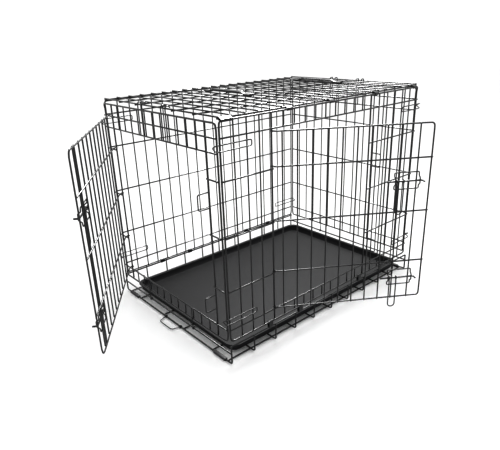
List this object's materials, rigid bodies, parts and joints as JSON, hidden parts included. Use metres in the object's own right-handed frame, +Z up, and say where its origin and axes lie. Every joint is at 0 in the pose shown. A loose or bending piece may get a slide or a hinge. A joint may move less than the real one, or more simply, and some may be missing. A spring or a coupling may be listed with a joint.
{
  "type": "wire dog crate",
  "caption": "Folding wire crate with doors at the front and side, sliding bolts, a lifting roof and a slide-out tray.",
  "frame": {"origin": "bottom centre of the bounding box, doors standing part open as stored", "axes": "+X along the crate from the front door to the rear, +Y from the side with the second door to the far side, +Z up"},
  "size_m": [1.0454, 0.767, 0.6273],
  "materials": {
    "coated_wire": "glossy black electro-coat",
    "zinc_wire": "black coated, slightly duller where it is handled",
    "tray_plastic": "black, lightly textured",
    "foot_plastic": "dark grey, matt"
  },
  "bodies": {
    "crate": {"base_frame": "coated_wire", "foot_front_near": "foot_plastic", "foot_front_far": "foot_plastic", "foot_rear_near": "foot_plastic", "foot_rear_far": "foot_plastic", "near_side": "coated_wire", "side_lower_keeper": "coated_wire", "side_upper_keeper": "coated_wire", "near_hook_front_low": "coated_wire", "near_hook_front_high": "coated_wire", "near_hook_rear_low": "coated_wire", "near_hook_rear_high": "coated_wire", "near_clip_1": "zinc_wire", "near_clip_2": "zinc_wire", "near_clip_3": "zinc_wire", "near_clip_4": "zinc_wire", "far_side": "coated_wire", "far_hook_front_low": "coated_wire", "far_hook_front_high": "coated_wire", "far_hook_rear_low": "coated_wire", "far_hook_rear_high": "coated_wire", "far_clip_1": "zinc_wire", "far_clip_2": "zinc_wire", "far_clip_3": "zinc_wire", "far_clip_4": "zinc_wire", "front_end": "coated_wire", "front_lower_keeper": "coated_wire", "front_upper_keeper": "coated_wire"},
    "tray": {"tray": "tray_plastic"},
    "tray_catch": {"tray_catch": "coated_wire"},
    "rear_end": {"rear_end": "coated_wire"},
    "roof": {"roof_panel": "coated_wire", "roof_clip_1": "zinc_wire", "roof_clip_2": "zinc_wire", "roof_clip_3": "zinc_wire", "roof_clip_4": "zinc_wire", "roof_clip_5": "zinc_wire", "carry_handle_front": "tray_plastic", "carry_handle_rear": "tray_plastic"},
    "side_door": {"side_door": "coated_wire", "side_lower_guide": "coated_wire", "side_upper_guide": "coated_wire"},
    "front_door": {"front_door": "coated_wire", "front_lower_guide": "coated_wire", "front_upper_guide": "coated_wire"},
    "side_lower_bolt": {"side_lower_bolt": "zinc_wire"},
    "side_lower_handle": {"side_lower_handle": "zinc_wire"},
    "side_upper_bolt": {"side_upper_bolt": "zinc_wire"},
    "side_upper_handle": {"side_upper_handle": "zinc_wire"},
    "front_lower_bolt": {"front_lower_bolt": "zinc_wire"},
    "front_lower_handle": {"front_lower_handle": "zinc_wire"},
    "front_upper_bolt": {"front_upper_bolt": "zinc_wire"},
    "front_upper_handle": {"front_upper_handle": "zinc_wire"}
  },
  "joints": [
    {"name": "side_door_hinge", "type": "hinge", "parent": "crate", "child": "side_door", "pos_m": [-0.09197, -0.15355, 0.3375], "axis": [0, 0, 1], "range_deg": [-106, 34]},
    {"name": "front_door_hinge", "type": "hinge", "parent": "crate", "child": "front_door", "pos_m": [-0.24567, 0.32955, 0.3375], "axis": [0, 0, 1], "range_deg": [-109.4, 35.6]},
    {"name": "tray_slide", "type": "slide", "parent": "crate", "child": "tray", "axis": [1, 0, 0], "range_m": [-0.6, 0]},
    {"name": "tray_catch_hinge", "type": "hinge", "parent": "crate", "child": "tray_catch", "pos_m": [-0.24657, 0.11055, 0.0046], "axis": [0, 1, 0], "range_deg": [0, 90]},
    {"name": "rear_end_fold", "type": "hinge", "parent": "crate", "child": "rear_end", "pos_m": [0.51343, 0.11055, 0.036], "axis": [0, 1, 0], "range_deg": [-90, 0]},
    {"name": "roof_hinge", "type": "hinge", "parent": "crate", "child": "roof", "pos_m": [0.13243, -0.15695, 0.607], "axis": [1, 0, 0], "range_deg": [0, 180]},
    {"name": "side_lower_bolt_slide", "type": "slide", "parent": "side_door", "child": "side_lower_bolt", "axis": [0.829, -0.5592, 0], "range_m": [0, 0.034]},
    {"name": "side_lower_handle_swing", "type": "hinge", "parent": "side_lower_bolt", "child": "side_lower_handle", "pos_m": [0.15627, -0.34078, 0.166], "axis": [0.829, -0.5592, 0], "range_deg": [-110, 0]},
    {"name": "side_upper_bolt_slide", "type": "slide", "parent": "side_door", "child": "side_upper_bolt", "axis": [0.829, -0.5592, 0], "range_m": [0, 0.034]},
    {"name": "side_upper_handle_swing", "type": "hinge", "parent": "side_upper_bolt", "child": "side_upper_handle", "pos_m": [0.15627, -0.34078, 0.427], "axis": [0.829, -0.5592, 0], "range_deg": [-110, 0]},
    {"name": "front_lower_bolt_slide", "type": "slide", "parent": "front_door", "child": "front_lower_bolt", "axis": [-0.5821, -0.8131, 0], "range_m": [0, 0.034]},
    {"name": "front_lower_handle_swing", "type": "hinge", "parent": "front_lower_bolt", "child": "front_lower_handle", "pos_m": [-0.47876, 0.03215, 0.166], "axis": [-0.5821, -0.8131, 0], "range_deg": [-110, 0]},
    {"name": "front_upper_bolt_slide", "type": "slide", "parent": "front_door", "child": "front_upper_bolt", "axis": [-0.5821, -0.8131, 0], "range_m": [0, 0.034]},
    {"name": "front_upper_handle_swing", "type": "hinge", "parent": "front_upper_bolt", "child": "front_upper_handle", "pos_m": [-0.47876, 0.03215, 0.427], "axis": [-0.5821, -0.8131, 0], "range_deg": [-110, 0]}
  ]
}
